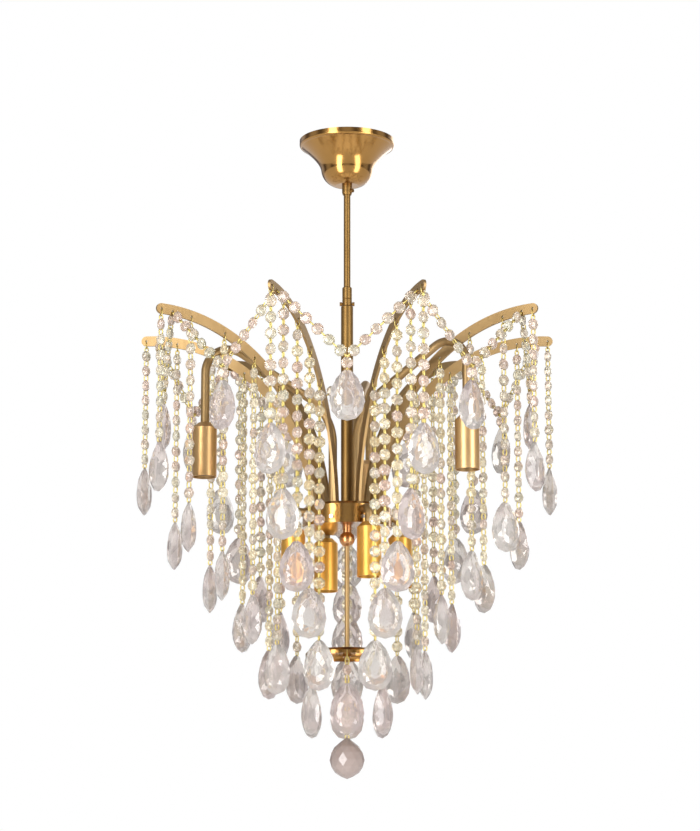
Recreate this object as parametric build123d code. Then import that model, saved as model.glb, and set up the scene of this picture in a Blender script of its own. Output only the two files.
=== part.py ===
from build123d import *
import os
from math import atan2, cos, degrees, hypot, radians, sin, sqrt, tan

os.makedirs("parts", exist_ok=True)

# A crystal chandelier that hangs from a ceiling on a telescopic column.
# Nine flat bars spring out of a hub and carry strings of crystal beads and drops.
# Seven lamps point down between them: three high ones on long tubes, four low ones
# on elbows. Millimetres, +Z up, origin on the ceiling in the column's axis.

# ---------------------------------------------------------------- clearances
SEAT_GAP = 0.3          # between a loose piece and its seat
RUN_GAP = 0.05          # radial, between a tube and what slides or seats on it

# ---------------------------------------------------------------- ceiling fixing
BRACKET_WIDTH = 20.0
BRACKET_SHEET = 2.0
BRACKET_DROP = 10.0     # ceiling to the top of the bridge
BRIDGE_HALF = 28.0      # half the flat length of the bridge
FOOT_START = 33.0       # where a foot begins, from the axis
FOOT_END = 48.0
SLOT_OFFSET = 41.0      # slot centre, from the axis
SLOT_LENGTH = 10.0
SLOT_WIDTH = 5.0
NUT_SIZE = 13.0         # across the flats
NUT_HEIGHT = 5.0
BLOCK_LENGTH = 18.0
BLOCK_WIDTH = 12.0
BLOCK_HEIGHT = 14.0
BLOCK_WIRE_HOLE = 1.6   # radius
BLOCK_PITCH = 5.6
BLOCK_END_GAP = 1.0     # block to the end of the bridge

# ---------------------------------------------------------------- canopy
CANOPY_RADIUS = 57.0
CANOPY_HEIGHT = 56.0
CANOPY_WALL = 1.2
LIP_HEIGHT = 5.0
LIP_ROLL = 3.0          # radius of the rolled corner under the lip
FLARE_TOP_LEAD = 10.0   # the flare leaves the lip inwards by this
FLARE_TOP_FALL = 8.0    # while it falls by this
FLARE_LOW_LEAD = 1.5    # the same two where it meets the waist
FLARE_LOW_FALL = 10.0
WAIST_RADIUS = 31.0
WAIST_DEPTH = 37.0
FLOOR_RADIUS = 14.0     # of the flat bottom
FLOOR_BULGE = 4.2       # how round the corner above it is
RING_RADIUS = 6.0
RING_HEIGHT = 11.0
RING_NECK = 5.2         # radius at the ring's lower end
RING_SCREW_DROP = 7.0   # below the canopy
RING_SCREW_ANGLE = -40.0

# ---------------------------------------------------------------- thumb screws
SCREW_RADIUS = 1.5
SCREW_HEAD_RADIUS = 2.4
SCREW_HEAD_LENGTH = 2.8

# ---------------------------------------------------------------- stem and column
STEM_RADIUS = 4.0
STEM_BORE = 2.8
STEM_TOP = 4.0          # below the ceiling
CLAMP_DROP = 181.0      # ceiling to the top of the clamp collar
CLAMP_RADIUS = 5.7
CLAMP_HEIGHT = 24.0
CLAMP_GROOVE_DROP = 14.5
CLAMP_GROOVE = 0.5
CLAMP_SCREW_DROP = 20.5
CLAMP_SPIGOT = 8.0
TUBE_RADIUS = 7.2
TUBE_BORE = 6.0
TUBE_LENGTH = 241.0     # visible length, down to the hub
TUBE_SEAT = 14.0        # depth in the hub's boss
EXTEND_TRAVEL = 50.0    # how far the column can still be drawn out
STOP_HEIGHT = 4.0

# ---------------------------------------------------------------- hub
HUB_RADIUS = 52.0
HUB_HEIGHT = 22.0
HUB_TOP = 4.0
HUB_RIM = 3.0
HUB_ROUND = 3.0
BOSS_RADIUS = 11.0
BASE_SHEET = 3.0
BALL_RADIUS = 9.0
BALL_NECK = 5.0
BALL_NECK_LENGTH = 4.0
BALL_SPIGOT = 4.5       # length of the spigot above the base plate

# ---------------------------------------------------------------- arms
ARM_COUNT = 9
ARM_FIRST_ANGLE = 90.0
ARM_ROOT = 30.0         # radius of the inner edge where it leaves the hub
ARM_REACH = 250.0
ARM_RISE = 237.0        # hub base to the top of the tip
ARM_WIDTH = 12.0
ARM_THICKNESS = 3.0
HOLE_INSET = 4.8        # hole centre to the lower edge
ARM_SCREW_RADIUS = 1.5
ARM_SCREW_HEAD = 2.6
ARM_SCREW_HEAD_LENGTH = 2.0
ARM_SCREW_RISE = 3.8    # above the base plate

# ---------------------------------------------------------------- lamps
LAMP_TUBE_RADIUS = 5.0
COVER_RADIUS = 14.0
COVER_HEIGHT = 63.0
COVER_WALL = 1.0
COVER_SHOULDER = 6.0    # height and width of the sloping shoulder
SOCKET_BORE = 7.0       # E14
SOCKET_DEPTH = 27.0
SOCKET_HEIGHT = 36.0
SOCKET_INSET = 4.0      # above the mouth of its cover
UPPER_COUNT = 3
UPPER_FIRST_ANGLE = 80.9
UPPER_RADIUS = 175.0
UPPER_MOUTH_DROP = 421.0
UPPER_ROOT = 17.0
UPPER_ROOT_TURN = -10.9  # root's angle, measured from the socket's
UPPER_KNEE_RISE = 111.0  # hub top to the knee of the tube
UPPER_CROWN_RISE = 198.0
UPPER_KNEE_BEND = 60.0
UPPER_CROWN_BEND = 30.0
LOWER_COUNT = 4
LOWER_FIRST_ANGLE = 22.0
LOWER_RADIUS = 67.0
LOWER_COVER_GAP = 5.0   # from the hub's base down to the top of a lower cover
LOWER_BEND = 10.0
LOWER_SEAT = 5.0        # depth of an elbow in the hub's rim

# ---------------------------------------------------------------- lower plate
ROD_RADIUS = 2.8
ROD_SEAT = 6.0
PLATE_DROP = 614.0      # ceiling to the top of the plate
PLATE_RADIUS = 48.0
PLATE_SHEET = 1.5
PLATE_RIM = 7.0
END_NUT_RADIUS = 5.0
END_NUT_HEIGHT = 5.0
TONGUE_LENGTH = 6.0     # flat eye below the nut
TONGUE_THICKNESS = 2.4
PLATE_HOLE_RISE = 3.2   # above the rim's lower edge
PLATE_DROP_COUNT = 6
PLATE_DROP_BOTTOM = 712.0

# ---------------------------------------------------------------- crystal
BEAD_RADIUS = 7.0
BEAD_PITCH = 18.0
BEAD_SIDES = 3
BEAD_NECK = 0.9         # radius of the wire between two beads
DROP_HEIGHT = 58.0
DROP_WIDTH = 39.0
DROP_THICKNESS = 16.0
LINK_HALF = 3.6         # half width of a link at the arm
LINK_HEIGHT = 10.0
LINK_WIRE = 1.1
HOLE_HALF = LINK_WIRE + SEAT_GAP * sqrt(2)  # half the diagonal of a hole for a link
TIP_BOTTOM = 448.0      # lowest point of each ring of strands, below the ceiling
SECOND_RADIUS = 206.0
SECOND_BOTTOM = 514.0
THIRD_RADIUS = 163.0
THIRD_BOTTOM = 566.0
FOURTH_RADIUS = 124.0
FOURTH_BOTTOM = 613.0
INNER_RADIUS = 92.0
INNER_BOTTOM = 668.0
SWAG_RADIUS = 230.0     # of the holes that the swags hang from
SWAG_SAG = 76.0
SWAG_BEAD = 13.0        # height of the bead between a swag and its drop
PENDANT_BEAD_RADIUS = 8.5
PENDANT_BEAD_HEIGHT = 16.0
PENDANT_BALL_RADIUS = 20.0
PENDANT_BALL_HEIGHT = 47.0
PENDANT_BOTTOM = 760.0

# ---------------------------------------------------------------- derived heights
RING_TOP = -CANOPY_HEIGHT
CLAMP_TOP = -CLAMP_DROP
CLAMP_BOTTOM = CLAMP_TOP - CLAMP_HEIGHT
STOP_TOP = CLAMP_BOTTOM - CLAMP_SPIGOT - EXTEND_TRAVEL - 1.0
STEM_END = STOP_TOP - STOP_HEIGHT
HUB_Z = CLAMP_BOTTOM - TUBE_LENGTH
HUB_BASE = HUB_Z - HUB_HEIGHT
BASE_BOTTOM = HUB_BASE - BASE_SHEET
BALL_CENTRE = BASE_BOTTOM - BALL_NECK_LENGTH - BALL_RADIUS + 1.0
PLATE_TOP = -PLATE_DROP
ARM_END = ARM_REACH - ARM_WIDTH / 2    # where the round of the tip begins


def save(node, *solids):
    """Write one node, as one solid or as a group of separate solids."""
    shape = solids[0] if len(solids) == 1 else Compound(children=list(solids))
    export_step(shape, os.path.join("parts", node + ".step"))


def turned(points):
    """A solid of revolution from (radius, z) points joined by straight lines."""
    outline = Polyline(*[(r, 0, z) for r, z in points], close=True)
    return revolve(make_face(outline), Axis.Z)


def rod(radius, low, high):
    return Pos(0, 0, low) * extrude(Circle(radius), high - low)


def tube(outer, inner, low, high):
    return Pos(0, 0, low) * extrude(Circle(outer) - Circle(inner), high - low)


def around(shape, angle, radius=0.0, z=0.0):
    """Move a shape out along X, lift it, and turn it about the column's axis."""
    return Rot(0, 0, angle) * Pos(radius, 0, z) * shape


def polygon(points):
    return Face(Wire.make_polygon([Vector(*p) for p in points], close=True))


def closed(faces):
    return Solid(Shell(faces))


def cut_crystal(levels, sides, spin=0.0):
    """Flat facets between regular rings, given as (z, radius) from top to bottom."""
    turns = [radians(spin + 360 * i / sides) for i in range(sides)]
    rings = [[(r * cos(a), r * sin(a), z) for a in turns] for z, r in levels]
    faces = [polygon(rings[0][::-1]), polygon(rings[-1])]
    for upper, lower in zip(rings, rings[1:]):
        for i in range(sides):
            j = (i + 1) % sides
            faces.append(polygon([upper[i], upper[j], lower[j], lower[i]]))
    return closed(faces)


def bead_line(length):
    """Beads strung down from the origin, as near as can be to the usual pitch."""
    beads = max(1, round(length / BEAD_PITCH))
    pitch = length / beads
    levels = [(0.0, BEAD_NECK)]
    for i in range(beads):
        levels += [(-pitch * (i + 0.5), BEAD_RADIUS), (-pitch * (i + 1), BEAD_NECK)]
    return cut_crystal(levels, BEAD_SIDES, 90)


def pear_drop():
    """A flat pear with facets, hung from its point at the origin, wide along Y."""
    half, high, deep = DROP_WIDTH / 2, DROP_HEIGHT, DROP_THICKNESS / 2
    side = [(0.46, -0.20), (0.90, -0.46), (0.98, -0.71), (0.60, -0.93)]
    outline = [(0, 0)] + side + [(0, -1)] + [(-y, z) for y, z in reversed(side)]
    edge = [(0.0, y * half, z * high) for y, z in outline]
    table = [(0, -0.27), (0.50, -0.50), (0.34, -0.80), (-0.34, -0.80), (-0.50, -0.50)]
    corners, rim = len(table), len(edge)
    faces = []
    for face in (1, -1):
        top = [(face * deep, y * half, z * high) for y, z in table]
        faces.append(polygon(top[::-face]))
        for i in range(rim):
            near = top[((i + 1) // 2) % corners]
            faces.append(polygon([edge[i], edge[(i + 1) % rim], near][::face]))
        for i in range(corners):
            faces.append(polygon([top[i], edge[2 * i + 1], top[(i + 1) % corners]][::face]))
    return closed(faces)


def hanging_link():
    """A flat link through a hole at the origin, closed below the bar's edge."""
    top = LINK_WIRE / 2
    low = top - LINK_HEIGHT
    foot = LINK_HALF - LINK_WIRE
    outer = Polyline((0, -LINK_HALF, top), (0, LINK_HALF, top), (0, foot, low), (0, -foot, low), close=True)
    slope = LINK_WIRE * 1.1
    inner = Polyline((0, -LINK_HALF + slope, top - LINK_WIRE), (0, LINK_HALF - slope, top - LINK_WIRE),
                     (0, foot - slope, low + LINK_WIRE), (0, slope - foot, low + LINK_WIRE), close=True)
    sheet = make_face(outer) - make_face(inner)
    return extrude(sheet, LINK_WIRE / 2, dir=(1, 0, 0), both=True), low


def strand(length, turn):
    """A link with its bead line, and the drop below, for a hole at the origin."""
    link, low = hanging_link()
    line = bead_line(length - DROP_HEIGHT - SEAT_GAP + low)
    chain = link + Pos(0, 0, low) * line
    drop = Rot(0, 0, turn) * Pos(0, 0, DROP_HEIGHT - length) * pear_drop()
    return chain, drop


def hole_height(radius):
    """Height of the line of holes along an arm, at this distance from the axis."""
    across = ARM_END - ARM_ROOT - ARM_WIDTH + HOLE_INSET
    rise = ARM_RISE - ARM_WIDTH + HOLE_INSET
    return HUB_BASE + rise * sqrt(1 - ((ARM_END - radius) / across) ** 2)


TIP_HOLE = HUB_BASE + ARM_RISE - ARM_WIDTH / 2
RINGS = [
    ("second_strands", SECOND_RADIUS, SECOND_BOTTOM),
    ("third_strands", THIRD_RADIUS, THIRD_BOTTOM),
    ("fourth_strands", FOURTH_RADIUS, FOURTH_BOTTOM),
    ("inner_strands", INNER_RADIUS, INNER_BOTTOM),
]
ARM_ANGLES = [ARM_FIRST_ANGLE + 360 * i / ARM_COUNT for i in range(ARM_COUNT)]
UPPER_ANGLES = [UPPER_FIRST_ANGLE + 360 * i / UPPER_COUNT for i in range(UPPER_COUNT)]
LOWER_ANGLES = [LOWER_FIRST_ANGLE + 360 * i / LOWER_COUNT for i in range(LOWER_COUNT)]
ELBOW_Z = HUB_Z - HUB_TOP - LAMP_TUBE_RADIUS


# ================================================================ ceiling fixing
def ceiling_bracket():
    """A strip bent four times: two feet on the ceiling and a bridge below them."""
    low = -BRACKET_DROP
    bend = atan2(BRACKET_DROP, FOOT_START - BRIDGE_HALF)
    shift = BRACKET_SHEET * tan(bend / 2)
    upper = [(FOOT_END, 0), (FOOT_START, 0), (BRIDGE_HALF, low)]
    lower = [(BRIDGE_HALF + shift, low - BRACKET_SHEET), (FOOT_START + shift, -BRACKET_SHEET),
             (FOOT_END, -BRACKET_SHEET)]
    mirrored = [(-x, z) for x, z in reversed(upper)] + [(-x, z) for x, z in reversed(lower)]
    line = Polyline(*[(x, 0, z) for x, z in upper + mirrored + lower], close=True)
    strip = extrude(make_face(line), BRACKET_WIDTH / 2, dir=(0, 1, 0), both=True)
    slot = extrude(SlotOverall(SLOT_LENGTH, SLOT_WIDTH), BRACKET_SHEET * 2, both=True)
    strip -= [Pos(SLOT_OFFSET, 0, 0) * slot, Pos(-SLOT_OFFSET, 0, 0) * slot]
    return strip - rod(STEM_RADIUS + RUN_GAP, low - 2 * BRACKET_SHEET, 0)


def stem_nuts():
    nut = extrude(RegularPolygon(NUT_SIZE / 2, 6, major_radius=False) - Circle(STEM_RADIUS + RUN_GAP),
                  NUT_HEIGHT)
    under = -BRACKET_DROP - BRACKET_SHEET - NUT_HEIGHT
    return Pos(0, 0, -BRACKET_DROP) * nut, Pos(0, 0, under) * nut


def terminal_block():
    top = -BRACKET_DROP - BRACKET_SHEET
    middle = BLOCK_END_GAP + BLOCK_LENGTH / 2 - BRIDGE_HALF
    block = Pos(middle, 0, top - BLOCK_HEIGHT / 2) * Box(BLOCK_LENGTH, BLOCK_WIDTH, BLOCK_HEIGHT)
    hole = Rot(90, 0, 0) * extrude(Circle(BLOCK_WIRE_HOLE), BLOCK_WIDTH, both=True)
    for i in (-1, 0, 1):
        block -= Pos(middle + i * BLOCK_PITCH, 0, top - BLOCK_HEIGHT * 0.6) * hole
    return block


def stem_stop():
    """A ring screwed on the stem's lower end; it keeps the column from coming off."""
    return tube(TUBE_BORE - SEAT_GAP, STEM_RADIUS + RUN_GAP, STEM_END, STOP_TOP)


save("ceiling_bracket", ceiling_bracket())
save("stem_nuts", *stem_nuts())
save("terminal_block", terminal_block())
save("upper_stem", tube(STEM_RADIUS, STEM_BORE, STEM_END, -STEM_TOP))
save("stem_stop", stem_stop())


# ================================================================ canopy
def bow(start, end, sag):
    """An arc from start to end, in the XZ plane, that bulges to the left by sag."""
    dx, dz = end[0] - start[0], end[1] - start[1]
    far = hypot(dx, dz)
    middle = ((start[0] + end[0]) / 2 - sag * dz / far, (start[1] + end[1]) / 2 + sag * dx / far)
    return ThreePointArc(*[(x, 0, z) for x, z in (start, middle, end)])


def canopy():
    """A spun bell, open at the ceiling, with a thick rolled lip."""
    lip = (CANOPY_RADIUS, -LIP_HEIGHT)
    rolled = (CANOPY_RADIUS - LIP_ROLL, -LIP_HEIGHT - LIP_ROLL)
    waist = (WAIST_RADIUS, -WAIST_DEPTH)
    floor = (FLOOR_RADIUS, -CANOPY_HEIGHT)
    outline = [
        Line((0, 0, 0), (CANOPY_RADIUS, 0, 0)),
        Line((CANOPY_RADIUS, 0, 0), (lip[0], 0, lip[1])),
        bow(lip, rolled, 0.29 * LIP_ROLL),
        Bezier((rolled[0], 0, rolled[1]),
               (rolled[0] - FLARE_TOP_LEAD, 0, rolled[1] - FLARE_TOP_FALL),
               (waist[0] + FLARE_LOW_LEAD, 0, waist[1] + FLARE_LOW_FALL), (waist[0], 0, waist[1])),
        bow(waist, floor, FLOOR_BULGE),
        Line((floor[0], 0, floor[1]), (0, 0, floor[1])),
        Line((0, 0, floor[1]), (0, 0, 0)),
    ]
    bell = revolve(make_face(outline), Axis.Z)
    bell = offset(bell, -CANOPY_WALL, openings=bell.faces().sort_by(Axis.Z)[-1])
    return bell - rod(STEM_RADIUS + SEAT_GAP, -2 * CANOPY_HEIGHT, 0)


def screw_hole(z, angle, reach):
    return Rot(0, 0, angle) * Pos(0, 0, z) * Rot(0, 90, 0) * rod(SCREW_RADIUS + RUN_GAP, 0, reach)


def thumb_screw(z, angle, seat):
    """A slotted screw that points at the axis and just clears the stem."""
    tip = STEM_RADIUS + SEAT_GAP
    screw = rod(SCREW_RADIUS, tip, seat + SEAT_GAP)
    screw += rod(SCREW_HEAD_RADIUS, seat + SEAT_GAP, seat + SEAT_GAP + SCREW_HEAD_LENGTH)
    end = seat + SEAT_GAP + SCREW_HEAD_LENGTH
    screw -= Pos(0, 0, end) * Box(3 * SCREW_HEAD_RADIUS, 0.3 * SCREW_HEAD_RADIUS, 0.8 * SCREW_HEAD_LENGTH)
    return Rot(0, 0, angle) * Pos(0, 0, z) * Rot(0, 90, 0) * screw


def canopy_collar():
    low = RING_TOP - RING_HEIGHT
    bore = STEM_RADIUS + RUN_GAP
    ring = turned([(bore, RING_TOP), (RING_RADIUS, RING_TOP), (RING_RADIUS, low + RING_HEIGHT / 4),
                   (RING_NECK, low), (bore, low)])
    return ring - screw_hole(RING_TOP - RING_SCREW_DROP, RING_SCREW_ANGLE, 2 * RING_RADIUS)


save("canopy", canopy())
save("canopy_collar", canopy_collar())
save("canopy_collar_screw", thumb_screw(RING_TOP - RING_SCREW_DROP, RING_SCREW_ANGLE, RING_RADIUS))


# ================================================================ column
def clamp_collar():
    """Reducer from the column to the stem, with a groove and two screw holes."""
    bore = STEM_RADIUS + RUN_GAP
    groove = CLAMP_TOP - CLAMP_GROOVE_DROP
    skirt = CLAMP_BOTTOM + TUBE_RADIUS - CLAMP_RADIUS
    low = CLAMP_BOTTOM - CLAMP_SPIGOT
    spigot = TUBE_BORE - RUN_GAP
    collar = turned([
        (bore, CLAMP_TOP), (CLAMP_RADIUS - 1, CLAMP_TOP), (CLAMP_RADIUS, CLAMP_TOP - 1),
        (CLAMP_RADIUS, groove + CLAMP_GROOVE), (CLAMP_RADIUS - CLAMP_GROOVE, groove),
        (CLAMP_RADIUS, groove - CLAMP_GROOVE), (CLAMP_RADIUS, skirt), (TUBE_RADIUS, CLAMP_BOTTOM),
        (spigot, CLAMP_BOTTOM), (spigot, low), (bore, low)])
    for angle in (0, 180):
        collar -= screw_hole(CLAMP_TOP - CLAMP_SCREW_DROP, angle, 2 * CLAMP_RADIUS)
    return collar


save("clamp_collar", clamp_collar())
save("clamp_screw_right", thumb_screw(CLAMP_TOP - CLAMP_SCREW_DROP, 0, CLAMP_RADIUS))
save("clamp_screw_left", thumb_screw(CLAMP_TOP - CLAMP_SCREW_DROP, 180, CLAMP_RADIUS))
save("column_tube", tube(TUBE_RADIUS, TUBE_BORE, HUB_Z - TUBE_SEAT, CLAMP_BOTTOM))


# ================================================================ arms
def arm_edge(inset):
    """Quarter ellipse of an arm's inner edge, or of a line inset from it."""
    return EllipticalCenterArc((ARM_END, 0), ARM_END - ARM_ROOT - inset, ARM_RISE - inset, 90, arc_size=90)


def arm():
    """A flat bar on edge, from the hub's base up and out to a rounded tip."""
    tip = ThreePointArc((ARM_END, ARM_RISE), (ARM_REACH, ARM_RISE - ARM_WIDTH / 2),
                        (ARM_END, ARM_RISE - ARM_WIDTH))
    foot = Line((ARM_ROOT, 0), (ARM_ROOT + ARM_WIDTH, 0))
    side = make_face([arm_edge(0), tip, arm_edge(ARM_WIDTH), foot])
    bar = Pos(0, 0, HUB_BASE) * extrude(Plane.XZ * side, ARM_THICKNESS / 2, both=True)
    punch = Rot(90, 0, 0) * extrude(RegularPolygon(HOLE_HALF, 4), ARM_THICKNESS, both=True)
    bar -= Pos(ARM_END, 0, TIP_HOLE) * punch
    for radius in [SWAG_RADIUS] + [ring[1] for ring in RINGS]:
        bar -= Pos(radius, 0, hole_height(radius)) * punch
    return bar


# ================================================================ hub
def arm_hub():
    """A spun cup with a boss for the column, nine slots and holes for the tubes."""
    bore = TUBE_RADIUS + RUN_GAP
    rim = HUB_RADIUS - HUB_RIM
    under = HUB_Z - HUB_TOP
    hub = turned([
        (bore, HUB_Z), (HUB_RADIUS - HUB_ROUND, HUB_Z), (HUB_RADIUS, HUB_Z - HUB_ROUND),
        (HUB_RADIUS, HUB_BASE), (rim, HUB_BASE), (rim, under), (BOSS_RADIUS, under),
        (BOSS_RADIUS, HUB_BASE), (bore, HUB_BASE)])
    lean = 1 - sqrt(1 - (HUB_HEIGHT / (ARM_RISE - ARM_WIDTH)) ** 2)
    start = ARM_ROOT - RUN_GAP
    end = ARM_ROOT + ARM_WIDTH + RUN_GAP + lean * (ARM_END - ARM_ROOT - ARM_WIDTH)
    slot = Box(end - start, ARM_THICKNESS + 2 * RUN_GAP, 4 * HUB_TOP)
    screw = Rot(0, 90, 0) * rod(ARM_SCREW_RADIUS + RUN_GAP, rim - 1, HUB_RADIUS + 1)
    for angle in ARM_ANGLES:
        hub -= around(slot, angle, (start + end) / 2, HUB_Z)
        hub -= around(screw, angle, 0, HUB_BASE + ARM_SCREW_RISE)
    seat = rod(LAMP_TUBE_RADIUS + RUN_GAP, under - 1, HUB_Z + 1)
    for angle in UPPER_ANGLES:
        hub -= around(seat, angle + UPPER_ROOT_TURN, UPPER_ROOT)
    elbow_hole = Rot(0, 90, 0) * rod(LAMP_TUBE_RADIUS + RUN_GAP, rim - 1, HUB_RADIUS + 1)
    for angle in LOWER_ANGLES:
        hub -= around(elbow_hole, angle, 0, ELBOW_Z)
    return hub


def arm_screws():
    """One short hexagon screw through the rim for each arm's root."""
    tip = ARM_ROOT + ARM_WIDTH + SEAT_GAP
    seat = HUB_RADIUS + RUN_GAP
    head = extrude(RegularPolygon(ARM_SCREW_HEAD, 6), ARM_SCREW_HEAD_LENGTH)
    screw = rod(ARM_SCREW_RADIUS, tip, seat) + Pos(0, 0, seat) * head
    screw = Pos(0, 0, HUB_BASE + ARM_SCREW_RISE) * Rot(0, 90, 0) * screw
    return [around(screw, angle) for angle in ARM_ANGLES]


def hub_ball_nut():
    spigot = TUBE_RADIUS
    nut = Pos(0, 0, BALL_CENTRE) * Sphere(BALL_RADIUS)
    nut += rod(BALL_NECK, BALL_CENTRE, BASE_BOTTOM)
    nut += rod(spigot, BASE_BOTTOM, HUB_BASE + BALL_SPIGOT)
    top = BALL_CENTRE - BALL_RADIUS + ROD_SEAT
    return nut - rod(ROD_RADIUS + RUN_GAP, BALL_CENTRE - 2 * BALL_RADIUS, top + RUN_GAP)


save("arm_hub", arm_hub())
save("arm_screws", *arm_screws())
save("hub_base_plate", tube(HUB_RADIUS, TUBE_RADIUS + RUN_GAP, BASE_BOTTOM, HUB_BASE))
save("hub_ball_nut", hub_ball_nut())
bar = arm()
for number, angle in enumerate(ARM_ANGLES, 1):
    save(f"arm_{number}", around(bar, angle))


# ================================================================ lamps
def bent_tube(points, bends):
    """A round tube along straight runs joined by arcs."""
    path = FilletPolyline(*points, radius=bends)
    section = Circle(LAMP_TUBE_RADIUS)
    return sweep(Plane(origin=path @ 0, z_dir=path % 0) * section, path=path)


def tube_end(mouth):
    return mouth + SOCKET_INSET + SOCKET_HEIGHT + SEAT_GAP


def upper_tube(angle):
    """Up from the hub beside the column, then over a crown and down to its socket."""
    mouth = -UPPER_MOUTH_DROP
    turn = radians(UPPER_ROOT_TURN)
    dx, dy = UPPER_RADIUS - UPPER_ROOT * cos(turn), -UPPER_ROOT * sin(turn)
    span = hypot(dx, dy)
    points = [(0, 0, HUB_Z - HUB_TOP), (0, 0, HUB_Z + UPPER_KNEE_RISE),
              (span, 0, HUB_Z + UPPER_CROWN_RISE), (span, 0, tube_end(mouth))]
    pipe = bent_tube(points, [UPPER_KNEE_BEND, UPPER_CROWN_BEND])
    root = Pos(UPPER_ROOT * cos(turn), UPPER_ROOT * sin(turn), 0) * Rot(0, 0, degrees(atan2(dy, dx)))
    return Rot(0, 0, angle) * root * pipe


def lower_tube(angle):
    """A short elbow out of the hub's rim and down into its socket."""
    mouth = HUB_BASE - LOWER_COVER_GAP - COVER_HEIGHT
    points = [(HUB_RADIUS - LOWER_SEAT, 0, ELBOW_Z), (LOWER_RADIUS, 0, ELBOW_Z),
              (LOWER_RADIUS, 0, tube_end(mouth))]
    return Rot(0, 0, angle) * bent_tube(points, [LOWER_BEND])


def socket_cover():
    """A turned sleeve with its mouth at the origin, open below."""
    neck = LAMP_TUBE_RADIUS + RUN_GAP
    inner = COVER_RADIUS - COVER_WALL
    shoulder = COVER_HEIGHT - COVER_SHOULDER
    return turned([
        (COVER_RADIUS, 0), (COVER_RADIUS, shoulder), (COVER_RADIUS - COVER_SHOULDER, COVER_HEIGHT),
        (neck, COVER_HEIGHT), (neck, COVER_HEIGHT - COVER_WALL),
        (inner - COVER_SHOULDER, COVER_HEIGHT - COVER_WALL), (inner, shoulder - COVER_WALL), (inner, 0)])


def lamp_socket():
    outer = COVER_RADIUS - COVER_WALL - SEAT_GAP
    body = rod(outer, SOCKET_INSET, SOCKET_INSET + SOCKET_HEIGHT)
    return body - rod(SOCKET_BORE, 0, SOCKET_INSET + SOCKET_DEPTH)


LAMPS = [(f"upper_socket_cover_{i + 1}", a, UPPER_RADIUS, -UPPER_MOUTH_DROP)
         for i, a in enumerate(UPPER_ANGLES)]
LAMPS += [(f"lower_socket_cover_{i + 1}", a, LOWER_RADIUS, HUB_BASE - LOWER_COVER_GAP - COVER_HEIGHT)
          for i, a in enumerate(LOWER_ANGLES)]
for number, angle in enumerate(UPPER_ANGLES, 1):
    save(f"upper_lamp_tube_{number}", upper_tube(angle))
for number, angle in enumerate(LOWER_ANGLES, 1):
    save(f"lower_lamp_tube_{number}", lower_tube(angle))
for node, angle, radius, mouth in LAMPS:
    save(node, around(socket_cover(), angle, radius, mouth))
save("lamp_sockets", *[around(lamp_socket(), angle, radius, mouth) for _, angle, radius, mouth in LAMPS])


# ================================================================ lower plate
def lower_plate():
    """A shallow dish, open below, with a hole in its rim for each drop."""
    bore = ROD_RADIUS + RUN_GAP
    corner = 2 * PLATE_SHEET
    inside = PLATE_RADIUS - PLATE_SHEET
    low = PLATE_TOP - PLATE_RIM
    dish = turned([
        (bore, PLATE_TOP), (PLATE_RADIUS - corner, PLATE_TOP), (PLATE_RADIUS, PLATE_TOP - corner),
        (PLATE_RADIUS, low), (inside, low), (inside, PLATE_TOP - corner - PLATE_SHEET / 2),
        (inside - corner + PLATE_SHEET / 2, PLATE_TOP - PLATE_SHEET), (bore, PLATE_TOP - PLATE_SHEET)])
    punch = Rot(0, 90, 0) * extrude(RegularPolygon(HOLE_HALF, 4), 3 * PLATE_SHEET, both=True)
    for i in range(PLATE_DROP_COUNT):
        dish -= around(punch, PLATE_TURN + 360 * i / PLATE_DROP_COUNT, inside, low + PLATE_HOLE_RISE)
    return dish


PLATE_TURN = 360 / PLATE_DROP_COUNT / 2
EYE_Z = PLATE_TOP - PLATE_SHEET - END_NUT_HEIGHT - TONGUE_LENGTH / 2


def rod_end_nut():
    """Nut under the plate, with a flat eye for the pendant."""
    top = PLATE_TOP - PLATE_SHEET
    nut = rod(END_NUT_RADIUS, top - END_NUT_HEIGHT, top)
    nut -= rod(ROD_RADIUS + RUN_GAP, top - END_NUT_HEIGHT + 1, top)
    nut += Pos(0, 0, EYE_Z) * Box(TONGUE_LENGTH, TONGUE_THICKNESS, TONGUE_LENGTH)
    punch = Rot(90, 0, 0) * extrude(RegularPolygon(HOLE_HALF, 4), TONGUE_THICKNESS, both=True)
    return nut - Pos(0, 0, EYE_Z) * punch


def bottom_pendant():
    """A bead on a link, a line of small beads and the faceted ball."""
    link, low = hanging_link()
    high, wide = PENDANT_BEAD_HEIGHT, PENDANT_BEAD_RADIUS
    bead = cut_crystal([(0, BEAD_NECK), (-0.3 * high, wide), (-0.7 * high, wide), (-high, BEAD_NECK)], 8)
    ball_top = PENDANT_BALL_HEIGHT - PENDANT_BOTTOM - EYE_Z
    line = bead_line(low - high - ball_top - SEAT_GAP)
    chain = link + Pos(0, 0, low) * bead + Pos(0, 0, low - high) * line
    tall, round_ = PENDANT_BALL_HEIGHT, PENDANT_BALL_RADIUS
    ball = cut_crystal([(0, BEAD_NECK), (-0.10 * tall, 0.45 * round_), (-0.29 * tall, 0.88 * round_),
                        (-0.5 * tall, round_), (-0.71 * tall, 0.88 * round_),
                        (-0.90 * tall, 0.45 * round_), (-tall, BEAD_NECK)], 8)
    return Pos(0, 0, EYE_Z) * chain, Pos(0, 0, EYE_Z + ball_top) * ball


rod_top = BALL_CENTRE - BALL_RADIUS + ROD_SEAT
rod_low = PLATE_TOP - PLATE_SHEET - END_NUT_HEIGHT + 1 + SEAT_GAP
save("lower_rod", rod(ROD_RADIUS, rod_low, rod_top))
save("lower_plate", lower_plate())
save("rod_end_nut", rod_end_nut())
save("bottom_pendant", *bottom_pendant())


# ================================================================ strands of crystal
def spread(number, ring, widest):
    """A fixed, uneven turn for each drop, in degrees."""
    return widest * sin(2.3 * number + 1.1 * ring)


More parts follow.
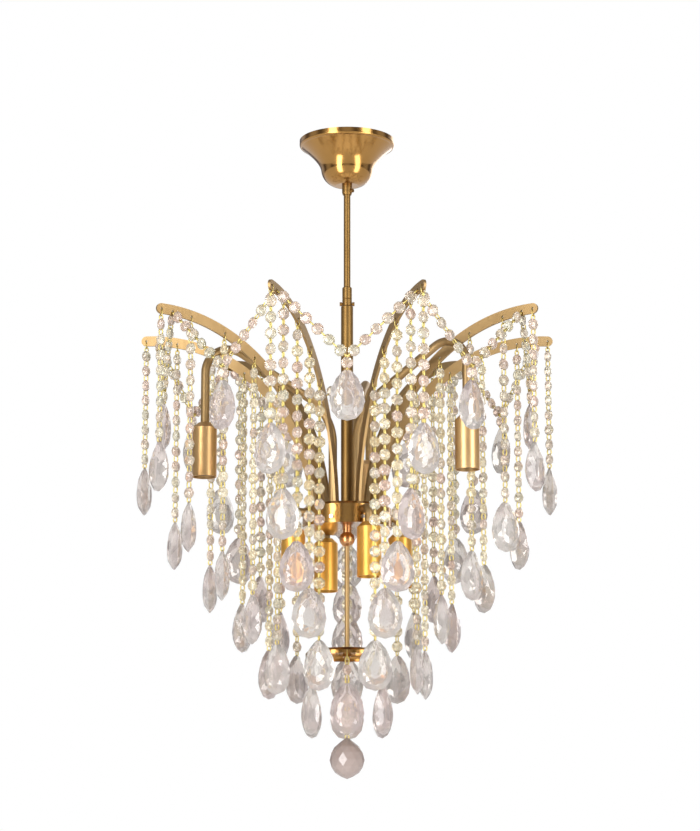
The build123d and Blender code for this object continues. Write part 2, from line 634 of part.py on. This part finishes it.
for number, angle in enumerate(ARM_ANGLES, 1):
    pieces = strand(TIP_HOLE + TIP_BOTTOM, spread(number, 0, 8))
    save(f"tip_strand_{number}", *[around(piece, angle, ARM_END, TIP_HOLE) for piece in pieces])

for ring, (node, radius, bottom) in enumerate(RINGS, 1):
    top = hole_height(radius)
    group = []
    for number, angle in enumerate(ARM_ANGLES, 1):
        group += [around(piece, angle, radius, top) for piece in strand(top + bottom, spread(number, ring, 25))]
    save(node, *group)

plate_hole = PLATE_TOP - PLATE_RIM + PLATE_HOLE_RISE
group = []
for i in range(PLATE_DROP_COUNT):
    angle = PLATE_TURN + 360 * i / PLATE_DROP_COUNT
    for piece in strand(plate_hole + PLATE_DROP_BOTTOM, 90):
        group.append(around(Rot(0, 0, 90) * piece, angle, PLATE_RADIUS - PLATE_SHEET / 2, plate_hole))
save("plate_drops", *group)


def swag():
    """Two straight bead lines from neighbouring arms that meet above a bead and a drop."""
    half_gap = radians(180 / ARM_COUNT)
    reach, half = SWAG_RADIUS * cos(half_gap), SWAG_RADIUS * sin(half_gap)
    slope = atan2(SWAG_SAG, half)
    square = cos(slope) * cos(half_gap)
    start = (ARM_THICKNESS / 2 + SEAT_GAP + BEAD_NECK * sqrt(1 - square ** 2)) / square
    end = (SEAT_GAP / 2 + BEAD_NECK * sin(slope)) / cos(slope)
    line = bead_line(hypot(half, SWAG_SAG) - start - end)
    top = hole_height(SWAG_RADIUS)
    pieces = []
    for side in (1, -1):
        leg = Rot(side * (degrees(slope) - 90), 0, 0) * Pos(0, 0, -start) * line
        pieces.append(Pos(reach, side * half, top) * leg)
    foot = top - SWAG_SAG - SEAT_GAP
    pieces.append(Pos(reach, 0, foot) * bead_line(SWAG_BEAD))
    pieces.append(Pos(reach, 0, foot - SWAG_BEAD - SEAT_GAP) * pear_drop())
    return pieces


group = []
for angle in ARM_ANGLES:
    group += [Rot(0, 0, angle + 180 / ARM_COUNT) * piece for piece in swag()]
save("swags", *group)
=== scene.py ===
import math
import random

import bpy
import bmesh
from mathutils import Matrix, Vector


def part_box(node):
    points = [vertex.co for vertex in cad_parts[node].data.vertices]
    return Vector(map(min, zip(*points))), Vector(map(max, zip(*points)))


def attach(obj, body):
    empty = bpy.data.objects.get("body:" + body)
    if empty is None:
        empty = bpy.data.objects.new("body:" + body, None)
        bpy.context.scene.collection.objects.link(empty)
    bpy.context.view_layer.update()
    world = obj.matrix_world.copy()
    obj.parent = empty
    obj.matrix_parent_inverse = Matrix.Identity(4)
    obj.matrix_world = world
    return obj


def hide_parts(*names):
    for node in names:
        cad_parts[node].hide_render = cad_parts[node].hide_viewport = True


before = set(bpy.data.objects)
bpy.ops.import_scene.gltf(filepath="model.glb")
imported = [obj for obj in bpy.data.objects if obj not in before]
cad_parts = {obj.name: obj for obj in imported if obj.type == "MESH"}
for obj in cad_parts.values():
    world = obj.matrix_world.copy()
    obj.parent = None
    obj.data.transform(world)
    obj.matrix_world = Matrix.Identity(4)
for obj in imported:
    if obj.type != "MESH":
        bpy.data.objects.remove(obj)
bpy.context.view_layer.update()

# ------------------------------------------------------------------ sizes, in metres
MM = 0.001
# places in a crystal piece's list of materials: drops, brass, beads, and one more glass
DROPS, BRASS, BEADS, OTHER = range(4)

ARM_COUNT = 9
ARM_ANGLES = [90 + 360 * i / ARM_COUNT for i in range(ARM_COUNT)]
ARM_END = 244 * MM          # radius where the round of an arm's tip begins
ARM_ROOT = 30 * MM
ARM_WIDTH = 12 * MM
HOLE_INSET = 4.8 * MM       # from an arm's lower edge up to its holes
HUB_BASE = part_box("arm_hub")[0].z
ARM_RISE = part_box("arm_1")[1].z - HUB_BASE
TIP_HOLE = HUB_BASE + ARM_RISE - ARM_WIDTH / 2

SEAT_GAP = 0.3 * MM         # between a line of beads and what hangs on it
TIP_BOTTOM = -448 * MM      # lowest point of the drops at the tips
TIP_YAW, RING_YAW = 8, 25   # degrees that a drop may be turned, at the tips and in the rings
NUMBER_STEP, RING_STEP = 2.3, 1.1   # radians that set those turns, from strand to strand and ring to ring
# node: radius of its holes, lowest point of its drops, glasses that its beads are drawn from
RINGS = {
    "second_strands": (206 * MM, -514 * MM, (BEADS,)),
    # OTHER in these rings is the gold-tinted glass, a painted reflection of the gold around them
    "third_strands": (163 * MM, -566 * MM, (BEADS, BEADS, OTHER)),
    "fourth_strands": (124 * MM, -613 * MM, (BEADS, OTHER, OTHER)),
    "inner_strands": (92 * MM, -668 * MM, (BEADS, OTHER, OTHER)),
}
SWAG_RADIUS = 230 * MM
SWAG_SAG = 76 * MM
SWAG_START, SWAG_END = 3.2 * MM, 1.4 * MM   # left free at a swag's hole and at its foot
SWAG_BEAD = 13 * MM         # room for the bead above a swag's drop
PLATE_HOLE_UP = 3.2 * MM    # from the plate's lowest point up to its holes
PLATE_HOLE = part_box("lower_plate")[0].z + PLATE_HOLE_UP
PLATE_HOLE_RADIUS = 47.25 * MM
PLATE_DROPS = 6
PLATE_TURN = 30             # degrees from the X axis to the plate's first hole
PLATE_DROP_BOTTOM = -712 * MM
PENDANT_EYE = -623.5 * MM
PENDANT_BOTTOM = -760 * MM

BEAD = 14.0 * MM            # across an octagonal bead
BEAD_THICK = 8.0 * MM
BEAD_PITCH = 18 * MM
BEAD_YAW = 26               # degrees that a bead may be turned on its line
RING_RADIUS = 0.8 * MM      # of the wire of a ring
RING_STEPS, RING_SIDES = 12, 6      # along a ring's wire and round it
RING_GRIP, RING_WIDE = 4.4 * MM, 4.6 * MM   # reach into both beads, and width, of a ring between beads
END_GRIP, END_WIDE = 4.0 * MM, 4.2 * MM     # the same for the rings at a line's ends
DROP_HEIGHT = 58 * MM
DROP_WIDTH = 39 * MM
DROP_THICK = 16 * MM
HOOK_HEIGHT = 9.45 * MM     # from a hole down to the first bead's ring
HOOK_RADIUS = 0.5 * MM      # of the wire of a hook
HOOK_SIDES = 8
# one side of a hook from its hole down: distance from its middle, height above its foot
HOOK_SIDE = [(3.05 * MM, HOOK_HEIGHT), (2.2 * MM, 1.6 * MM), (0.8 * MM, 0.55 * MM)]
RNG = random.Random(7)


# ------------------------------------------------------------------ node helpers
def new_material(name):
    material = bpy.data.materials.new(name)
    material.use_nodes = True
    return material, material.node_tree, material.node_tree.nodes["Principled BSDF"].inputs


def object_noise(tree, scale, detail=3.0, stretch=(1, 1, 1)):
    """Noise fixed to the object's own coordinates."""
    place = tree.nodes.new("ShaderNodeTexCoord")
    mapping = tree.nodes.new("ShaderNodeMapping")
    mapping.inputs["Scale"].default_value = stretch
    noise = tree.nodes.new("ShaderNodeTexNoise")
    noise.inputs["Scale"].default_value = scale
    noise.inputs["Detail"].default_value = detail
    tree.links.new(place.outputs["Object"], mapping.inputs["Vector"])
    tree.links.new(mapping.outputs["Vector"], noise.inputs["Vector"])
    return noise.outputs["Fac"]


def ramp(tree, source, stops):
    """Colours along the source's value: (position, colour) for each stop."""
    node = tree.nodes.new("ShaderNodeValToRGB")
    elements = node.color_ramp.elements
    while len(elements) < len(stops):
        elements.new(0.5)
    for element, (position, colour) in zip(elements, stops):
        element.position = position
        element.color = (*colour, 1)
    tree.links.new(source, node.inputs["Fac"])
    return node.outputs["Color"]


def spread(tree, source, low, high, start=0.0):
    """The source's values from start to 1, spread from low to high."""
    node = tree.nodes.new("ShaderNodeMapRange")
    node.inputs["From Min"].default_value = start
    node.inputs["To Min"].default_value = low
    node.inputs["To Max"].default_value = high
    tree.links.new(source, node.inputs["Value"])
    return node.outputs["Result"]


def bump(tree, source, strength):
    node = tree.nodes.new("ShaderNodeBump")
    node.inputs["Strength"].default_value = strength
    node.inputs["Distance"].default_value = RELIEF_HEIGHT
    tree.links.new(source, node.inputs["Height"])
    return node.outputs["Normal"]


def maths(tree, operation, *values):
    """A sum on sockets and plain numbers."""
    node = tree.nodes.new("ShaderNodeMath")
    node.operation = operation
    for slot, value in zip(node.inputs, values):
        if isinstance(value, float):
            slot.default_value = value
        else:
            tree.links.new(value, slot)
    return node.outputs[0]


# ------------------------------------------------------------------ materials
RELIEF_HEIGHT = 0.2 * MM
DRIFT_SCALE = 18            # of the slow colour drift of metal
METAL_RELIEF = 0.06
COAT_ROUGHNESS = 0.15
GLASS_IOR = 1.56
PLASTIC_GRAIN = 400
PLASTIC_SHADE = 0.85        # how dark the painted shade in its hollows is
PLASTIC_RELIEF = 0.15


def gold(name, light, dark, roughness, grain, stretch=(1, 1, 1), coat=0.0):
    """Plated metal: slow colour drift, and fine grain in its roughness and relief."""
    material, tree, shader = new_material(name)
    drift = object_noise(tree, DRIFT_SCALE)
    fine = object_noise(tree, grain, 4, stretch)
    tree.links.new(ramp(tree, drift, [(0.3, dark), (0.7, light)]), shader["Base Color"])
    tree.links.new(spread(tree, fine, *roughness), shader["Roughness"])
    tree.links.new(bump(tree, fine, METAL_RELIEF), shader["Normal"])
    shader["Metallic"].default_value = 1.0
    shader["Coat Weight"].default_value = coat
    shader["Coat Roughness"].default_value = COAT_ROUGHNESS
    return material


POLISHED = gold("polished_gold", (0.42, 0.220, 0.052), (0.35, 0.175, 0.037), (0.15, 0.21), 220, coat=0.5)
SATIN = gold("satin_gold", (0.40, 0.270, 0.128), (0.335, 0.218, 0.094), (0.42, 0.54), 260, (1, 1, 0.1))
COLUMN_GOLD = gold("column_gold", (0.26, 0.153, 0.050), (0.22, 0.124, 0.038), (0.42, 0.50), 120, (1, 1, 0.05))
BRASS_WIRE = gold("brass_wire", (0.74, 0.62, 0.24), (0.63, 0.50, 0.15), (0.25, 0.40), 500)
COVER_GOLD = gold("cover_gold", (0.70, 0.46, 0.22), (0.585, 0.37, 0.16), (0.34, 0.42), 220, (1, 1, 0.2))
# the lower covers' own, more orange copy of the cover gold: painted reflection of the gold parts around them
LOW_COVER_REFLECTED_GOLD = gold("low_cover_reflected_gold", (0.92, 0.53, 0.128), (0.77, 0.42, 0.087), (0.34, 0.42), 220,
                      (1, 1, 0.2))
BALL_BROWN = gold("dark_gold", (0.52, 0.27, 0.12), (0.40, 0.19, 0.08), (0.24, 0.32), 220)
ZINC = gold("zinc", (0.66, 0.65, 0.62), (0.52, 0.51, 0.48), (0.28, 0.45), 160)


def crystal(name, light, dark, clear, roughness, patches=9):
    """Cut glass; what isn't clear of it scatters, as worn and dusty facets do."""
    material, tree, shader = new_material(name)
    drift = object_noise(tree, patches)
    tree.links.new(ramp(tree, drift, [(0.40, dark), (0.60, light)]), shader["Base Color"])
    shader["Transmission Weight"].default_value = clear
    shader["IOR"].default_value = GLASS_IOR
    shader["Roughness"].default_value = roughness
    return material


DROP_GLASS = crystal("drop_crystal", (0.80, 0.765, 0.72), (0.755, 0.665, 0.635), 0.79, 0.03, 14)
# glass tinted gold: painted reflection of the gold parts around the inner beads
GOLD_REFLECTION_GLASS = crystal("gold_reflection_crystal", (0.95, 0.88, 0.70), (0.91, 0.80, 0.55), 0.75, 0.04)
BALL_GLASS = crystal("ball_crystal", (0.42, 0.335, 0.30), (0.35, 0.28, 0.25), 0.30, 0.10)
BEAD_GLASS = crystal("bead_crystal", (0.785, 0.745, 0.595), (0.81, 0.65, 0.56), 0.73, 0.05, 30)
CUT = [DROP_GLASS, BRASS_WIRE, BEAD_GLASS]


def moulded(name, colour, roughness):
    """Plastic with a fine grain, with painted shade in the grain's hollows."""
    material, tree, shader = new_material(name)
    fine = object_noise(tree, PLASTIC_GRAIN)
    dark = tuple(c * PLASTIC_SHADE for c in colour)
    # painted shade: where the grain's bump sinks, its colour is made darker
    tree.links.new(ramp(tree, fine, [(0.3, dark), (0.7, colour)]), shader["Base Color"])
    tree.links.new(bump(tree, fine, PLASTIC_RELIEF), shader["Normal"])
    shader["Roughness"].default_value = roughness
    return material


SOCKET = moulded("socket_black", (0.045, 0.04, 0.035), 0.42)
BLOCK = moulded("terminal_white", (0.86, 0.85, 0.80), 0.5)


# ------------------------------------------------------------------ mesh helpers
class Pile:
    """Collects copies of small meshes, with a material each, into one mesh."""

    def __init__(self):
        self.verts, self.faces, self.kinds, self.smooth = [], [], [], []

    def add(self, shape, matrix, kind, smooth=False):
        points, faces = shape
        start = len(self.verts)
        self.verts += [tuple(matrix @ Vector(p)) for p in points]
        self.faces += [tuple(start + i for i in face) for face in faces]
        self.kinds += [kind] * len(faces)
        self.smooth += [smooth] * len(faces)

    def make(self, name, materials):
        mesh = bpy.data.meshes.new(name)
        mesh.from_pydata(self.verts, [], self.faces)
        for material in materials:
            mesh.materials.append(material)
        mesh.polygons.foreach_set("material_index", self.kinds)
        mesh.polygons.foreach_set("use_smooth", self.smooth)
        mesh.update()
        item = bpy.data.objects.new(name, mesh)
        bpy.context.scene.collection.objects.link(item)
        return item


def finish_piece(pile, materials, body, node):
    """The pile's mesh, on its body, in place of its node."""
    item = pile.make(f"cut_{node}", materials)
    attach(item, body)
    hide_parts(node)


def hull(points):
    """Convex hull of the points, with coplanar faces joined: (vertices, faces)."""
    work = bmesh.new()
    for p in points:
        work.verts.new(p)
    bmesh.ops.convex_hull(work, input=work.verts)
    loose = [v for v in work.verts if not v.link_faces]
    bmesh.ops.delete(work, geom=loose, context="VERTS")
    bmesh.ops.dissolve_limit(work, angle_limit=math.radians(1), verts=work.verts, edges=work.edges)
    bmesh.ops.recalc_face_normals(work, faces=work.faces)
    work.verts.index_update()
    shape = ([tuple(v.co) for v in work.verts], [tuple(v.index for v in f.verts) for f in work.faces])
    work.free()
    return shape


def round_wire(path, radius, sides):
    """A round wire along a closed loop of points."""
    path = [Vector(p) for p in path]
    count = len(path)
    verts, faces = [], []
    side = None
    for i, p in enumerate(path):
        run = (path[(i + 1) % count] - path[i - 1]).normalized()
        if side is None:
            side = run.orthogonal().normalized()
        side = (side - run * side.dot(run)).normalized()
        up = run.cross(side)
        for k in range(sides):
            a = 2 * math.pi * k / sides
            verts.append(tuple(p + radius * (math.cos(a) * side + math.sin(a) * up)))
    for i in range(count):
        here, there = i * sides, (i + 1) % count * sides
        for k in range(sides):
            n = (k + 1) % sides
            faces.append((here + k, here + n, there + n, there + k))
    return verts, faces


def turn(angle):
    return Matrix.Rotation(math.radians(angle), 4, "Z")


def at(x=0.0, y=0.0, z=0.0):
    return Matrix.Translation((x, y, z))


def place(angle, radius, z):
    return turn(angle) @ at(radius, 0, z)


# ------------------------------------------------------------------ cut crystal shapes
# rings of points from the edge up to the table: (share of the outline, share of the height, steps round)
BEAD_SIDES = 8
BEAD_RINGS = [(1.0, 0.13, 0), (0.80, 0.66, 0.5), (0.46, 1.0, 0)]
# the same for a pear, with the number of points first
PEAR_RINGS = [(14, 1.0, 0.07, 0), (14, 0.80, 0.50, 0.5), (14, 0.60, 0.84, 0), (8, 0.36, 1.0, 0)]
PEAR_BELLY = 0.60           # how far down the pear is widest
PEAR_ROUND = 0.46           # power that rounds its bottom
PEAR_TAPER = PEAR_ROUND * PEAR_BELLY / (1 - PEAR_BELLY)
PEAR_WIDEST = PEAR_BELLY ** PEAR_TAPER * (1 - PEAR_BELLY) ** PEAR_ROUND


def bead_shape():
    """An octagonal bead with a table on each face, flat in the YZ plane."""
    points = []
    for share, depth, shift in BEAD_RINGS:
        for i in range(BEAD_SIDES):
            a = 2 * math.pi * (i + 0.5 + shift) / BEAD_SIDES
            r = share * BEAD / 2
            for face in (1, -1):
                points.append((face * depth * BEAD_THICK / 2, r * math.cos(a), r * math.sin(a)))
    return hull(points)


def pear_outline(count, scale, shift):
    """Points round a pear whose tip is at the origin, scaled about its belly."""
    points = []
    for i in range(count):
        a = 2 * math.pi * (i + shift) / count
        down = (1 - math.cos(a)) / 2
        width = down ** PEAR_TAPER * (1 - down) ** PEAR_ROUND / PEAR_WIDEST
        y = math.copysign(width, math.sin(a))
        points.append((scale * y, -PEAR_BELLY + scale * (PEAR_BELLY - down)))
    return points


def pear_shape():
    """A flat pear cut with three rows of facets and a table on each face."""
    points = []
    for count, share, depth, shift in PEAR_RINGS:
        for y, z in pear_outline(count, share, shift):
            for face in (1, -1):
                points.append((face * depth * DROP_THICK / 2, y * DROP_WIDTH / 2, z * DROP_HEIGHT))
    return hull(points)


def ring_cut(levels, sides):
    """A round cut: rings of points (z, radius), each half a step round from the last."""
    points = []
    for row, (z, radius) in enumerate(levels):
        for i in range(sides):
            a = 2 * math.pi * (i + 0.5 * (row % 2)) / sides
            points.append((radius * math.cos(a), radius * math.sin(a), z))
    return hull(points)


def oval_ring(height, width):
    """A closed wire ring in the XZ plane, centred on the origin."""
    angles = [2 * math.pi * i / RING_STEPS for i in range(RING_STEPS)]
    path = [(width / 2 * math.cos(a), 0, height / 2 * math.sin(a)) for a in angles]
    return round_wire(path, RING_RADIUS, RING_SIDES)


BEAD_CUT = bead_shape()
PEAR_CUT = pear_shape()
HOOK = round_wire([(0, y, up - HOOK_HEIGHT) for y, up in HOOK_SIDE]
                  + [(0, -y, up - HOOK_HEIGHT) for y, up in reversed(HOOK_SIDE)], HOOK_RADIUS, HOOK_SIDES)


# ------------------------------------------------------------------ strands
def bead_row(pile, matrix, length, kinds=(BEADS,)):
    """Beads down from the matrix's origin, joined by brass rings at the same pitch."""
    count = max(1, round(length / BEAD_PITCH))
    pitch = length / count
    gap = pitch - BEAD
    ring = oval_ring(gap + RING_GRIP, RING_WIDE)
    for i in range(count):
        yaw = turn(RNG.uniform(-BEAD_YAW, BEAD_YAW))
        pile.add(BEAD_CUT, matrix @ at(z=-pitch * (i + 0.5)) @ yaw, RNG.choice(kinds))
        if i < count - 1:
            pile.add(ring, matrix @ at(z=-pitch * (i + 1)), BRASS, True)
    end = oval_ring(gap / 2 + END_GRIP, END_WIDE)
    for z in (-gap / 4, gap / 4 - length):
        pile.add(end, matrix @ at(z=z), BRASS, True)


def hung_strand(pile, matrix, length, yaw, kinds=(BEADS,)):
    """Hook, beads and drop below a hole at the matrix's origin."""
    pile.add(HOOK, matrix, BRASS, True)
    line = length - DROP_HEIGHT - SEAT_GAP - HOOK_HEIGHT
    bead_row(pile, matrix @ at(z=-HOOK_HEIGHT), line, kinds)
    pile.add(PEAR_CUT, matrix @ at(z=DROP_HEIGHT - length) @ turn(yaw), DROPS)


def hole_height(radius):
    """Height of an arm's hole at this radius, on an ellipse that runs with the arm's lower edge."""
    across = ARM_END - ARM_ROOT - ARM_WIDTH + HOLE_INSET
    rise = ARM_RISE - ARM_WIDTH + HOLE_INSET
    return HUB_BASE + rise * math.sqrt(1 - ((ARM_END - radius) / across) ** 2)


def uneven(number, ring, widest):
    """The same fixed, uneven turn for each drop as its solid has."""
    return widest * math.sin(NUMBER_STEP * number + RING_STEP * ring)


for number, angle in enumerate(ARM_ANGLES, 1):
    pile = Pile()
    hung_strand(pile, place(angle, ARM_END, TIP_HOLE), TIP_HOLE - TIP_BOTTOM, uneven(number, 0, TIP_YAW))
    node = f"tip_strand_{number}"
    finish_piece(pile, CUT, node, node)

for ring, (node, (radius, bottom, kinds)) in enumerate(RINGS.items(), 1):
    pile = Pile()
    top = hole_height(radius)
    for number, angle in enumerate(ARM_ANGLES, 1):
        hung_strand(pile, place(angle, radius, top), top - bottom, uneven(number, ring, RING_YAW), kinds)
    finish_piece(pile, CUT + [GOLD_REFLECTION_GLASS], "column", node)

pile = Pile()
for i in range(PLATE_DROPS):
    matrix = place(PLATE_TURN + 360 * i / PLATE_DROPS, PLATE_HOLE_RADIUS, PLATE_HOLE) @ turn(90)
    hung_strand(pile, matrix, PLATE_HOLE - PLATE_DROP_BOTTOM, 90)
finish_piece(pile, CUT, "column", "plate_drops")


def swag(pile, angle):
    """Two straight rows of beads from neighbouring arms, with a bead and a drop below."""
    half_gap = math.radians(180 / ARM_COUNT)
    reach, half = SWAG_RADIUS * math.cos(half_gap), SWAG_RADIUS * math.sin(half_gap)
    slope = math.atan2(SWAG_SAG, half)
    top = hole_height(SWAG_RADIUS)
    base = turn(angle)
    for side in (1, -1):
        lean = Matrix.Rotation(side * (slope - math.pi / 2), 4, "X")
        matrix = base @ at(reach, side * half, top) @ lean @ at(z=-SWAG_START)
        bead_row(pile, matrix, math.hypot(half, SWAG_SAG) - SWAG_START - SWAG_END)
    foot = top - SWAG_SAG - SEAT_GAP
    bead_row(pile, base @ at(reach, 0, foot), SWAG_BEAD)
    pile.add(PEAR_CUT, base @ at(reach, 0, foot - SWAG_BEAD - SEAT_GAP), DROPS)


pile = Pile()
for angle in ARM_ANGLES:
    swag(pile, angle + 180 / ARM_COUNT)
finish_piece(pile, CUT, "column", "swags")

# ------------------------------------------------------------------ the pendant below the plate
# rings of points from the top down: (share of the height, share of the half width)
BALL_HIGH, BALL_HALF, BALL_SIDES = 47 * MM, 20 * MM, 12
BALL_LEVELS = [(0.0, 0.05), (0.10, 0.36), (0.23, 0.72), (0.38, 0.93), (0.55, 1.0), (0.72, 0.92), (0.86, 0.68),
               (0.95, 0.34), (1.0, 0.04)]
BIG_HIGH, BIG_HALF, BIG_END, BIG_SIDES = 16 * MM, 8.5 * MM, 2 * MM, 8     # the large bead under its hook
BIG_LEVELS = [(0, BIG_END), (-0.25 * BIG_HIGH, 0.86 * BIG_HALF), (-0.5 * BIG_HIGH, BIG_HALF),
              (-0.75 * BIG_HIGH, 0.86 * BIG_HALF), (-BIG_HIGH, BIG_END)]

pile = Pile()
pile.add(HOOK, at(z=PENDANT_EYE), BRASS, True)
pile.add(ring_cut(BIG_LEVELS, BIG_SIDES), at(z=PENDANT_EYE) @ at(z=-HOOK_HEIGHT), DROPS)
ball_top = PENDANT_BOTTOM + BALL_HIGH
line_top = PENDANT_EYE - HOOK_HEIGHT - BIG_HIGH
bead_row(pile, at(z=line_top), line_top - ball_top - SEAT_GAP)
ball = ring_cut([(-z * BALL_HIGH, r * BALL_HALF) for z, r in BALL_LEVELS], BALL_SIDES)
pile.add(ball, at(z=ball_top), OTHER)
finish_piece(pile, CUT + [BALL_GLASS], "bottom_pendant", "bottom_pendant")


# ------------------------------------------------------------------ metal kept from the frame
def numbered(name, count):
    return [f"{name}_{i}" for i in range(1, count + 1)]


KEPT = [
    (SATIN, ["lower_rod", *numbered("arm", ARM_COUNT), *numbered("upper_lamp_tube", 3),
             *numbered("lower_lamp_tube", 4)]),
    (COVER_GOLD, numbered("upper_socket_cover", 3)),
    (LOW_COVER_REFLECTED_GOLD, numbered("lower_socket_cover", 4)),
    (COLUMN_GOLD, ["upper_stem", "column_tube", "clamp_collar", "canopy_collar"]),
    (POLISHED, ["canopy", "arm_hub", "hub_base_plate", "lower_plate", "rod_end_nut", "canopy_collar_screw",
                "clamp_screw_left", "clamp_screw_right"]),
    (BALL_BROWN, ["hub_ball_nut"]),
    (ZINC, ["ceiling_bracket", "stem_nuts", "stem_stop", "arm_screws"]),
    (SOCKET, ["lamp_sockets"]),
    (BLOCK, ["terminal_block"]),
]
for material, names in KEPT:
    for name in names:
        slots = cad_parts[name].data.materials
        slots.clear()
        slots.append(material)

# ------------------------------------------------------------------ floor
FLOOR_HALF = 30.0
FLOOR_LOW = -3.0
FLOOR_GLOW = 0.50           # keeps the floor nearly as bright as what lies behind it


def studio_floor():
    mesh = bpy.data.meshes.new("floor")
    corners = [(-1, -1), (1, -1), (1, 1), (-1, 1)]
    mesh.from_pydata([(x * FLOOR_HALF, y * FLOOR_HALF, FLOOR_LOW) for x, y in corners], [], [(0, 1, 2, 3)])
    material, tree, shader = new_material("pale_floor")
    tint = ramp(tree, object_noise(tree, 3), [(0.3, (0.90, 0.90, 0.90)), (0.7, (0.93, 0.93, 0.93))])
    tree.links.new(tint, shader["Base Color"])
    shader["Roughness"].default_value = 0.7
    shader["Emission Color"].default_value = (1, 1, 1, 1)
    shader["Emission Strength"].default_value = FLOOR_GLOW
    mesh.materials.append(material)
    floor = bpy.data.objects.new("floor", mesh)
    bpy.context.scene.collection.objects.link(floor)


studio_floor()

# ------------------------------------------------------------------ light
MIDDLE = Vector((0, 0, -0.4))
SOFTBOXES = [               # name, where it stands, width, height, watts
    ("key", (-1.27, -1.88, -0.6), 0.80, 3.0, 65),
    ("fill", (1.67, -1.55, -0.5), 0.85, 3.2, 48),
    ("back", (0.9, 1.8, 0.3), 1.2, 1.0, 7),
]
BAND_COUNT = 8.0            # bright and grey bands round the horizon
BAND_STOPS = [(0.06, (0.22, 0.20, 0.21)), (0.40, (0.62, 0.59, 0.61)), (0.70, (1.0, 1.0, 1.0))]
RISE_STOPS = [(0.0, (0.75, 0.75, 0.76)), (0.55, (1.0, 1.0, 1.0))]     # from the horizon up
STUDIO_STRENGTH = 0.68


def softbox(name, stand, width, height, watts):
    """A rectangular lamp that faces the middle of the object."""
    data = bpy.data.lights.new(name, "AREA")
    data.shape = "RECTANGLE"
    data.size, data.size_y = width, height
    data.energy = watts
    lamp = bpy.data.objects.new(name, data)
    lamp.location = stand
    lamp.rotation_euler = (MIDDLE - Vector(stand)).to_track_quat("-Z", "Y").to_euler()
    bpy.context.scene.collection.objects.link(lamp)


for row in SOFTBOXES:
    softbox(*row)


def studio_world():
    """White behind the object for the camera; soft bright and grey bands for the rest."""
    world = bpy.data.worlds.new("studio")
    bpy.context.scene.world = world
    world.use_nodes = True
    tree = world.node_tree
    nodes, links = tree.nodes, tree.links
    nodes.clear()
    direction = nodes.new("ShaderNodeTexCoord")
    split = nodes.new("ShaderNodeSeparateXYZ")
    links.new(direction.outputs["Generated"], split.inputs["Vector"])
    azimuth = maths(tree, "ARCTAN2", split.outputs["X"], split.outputs["Y"])
    wave = maths(tree, "COSINE", maths(tree, "MULTIPLY", azimuth, BAND_COUNT))
    bands = ramp(tree, spread(tree, wave, 0.0, 1.0, start=-1.0), BAND_STOPS)
    rise = ramp(tree, split.outputs["Z"], RISE_STOPS)
    both = nodes.new("ShaderNodeMix")
    both.data_type = "RGBA"
    both.blend_type = "MULTIPLY"
    both.inputs["Factor"].default_value = 1.0
    links.new(bands, both.inputs["A"])
    links.new(rise, both.inputs["B"])
    studio = nodes.new("ShaderNodeBackground")
    links.new(both.outputs["Result"], studio.inputs["Color"])
    studio.inputs["Strength"].default_value = STUDIO_STRENGTH
    white = nodes.new("ShaderNodeBackground")
    white.inputs["Color"].default_value = (1, 1, 1, 1)
    white.inputs["Strength"].default_value = 1.0
    path = nodes.new("ShaderNodeLightPath")
    mix = nodes.new("ShaderNodeMixShader")
    links.new(path.outputs["Is Camera Ray"], mix.inputs["Fac"])
    links.new(studio.outputs["Background"], mix.inputs[1])
    links.new(white.outputs["Background"], mix.inputs[2])
    out = nodes.new("ShaderNodeOutputWorld")
    links.new(mix.outputs["Shader"], out.inputs["Surface"])


studio_world()
bpy.context.scene.view_settings.view_transform = "Standard"

# ------------------------------------------------------------------ camera
CAMERA_STAND = (0, -3.000, -0.952)
CAMERA_TILT = 11.60         # degrees up from level
SENSOR_WIDTH, LENS = 36, 112.9
SHIFT_PIXELS, PICTURE_HEIGHT = 2.9, 831


def camera():
    """Below the middle of the object, tilted up as the photograph is."""
    data = bpy.data.cameras.new("camera")
    data.sensor_width = SENSOR_WIDTH
    data.lens = LENS
    data.shift_x = SHIFT_PIXELS / PICTURE_HEIGHT
    item = bpy.data.objects.new("camera", data)
    item.location = CAMERA_STAND
    item.rotation_euler = (math.radians(90 + CAMERA_TILT), 0, 0)
    bpy.context.scene.collection.objects.link(item)
    bpy.context.scene.camera = item


camera()
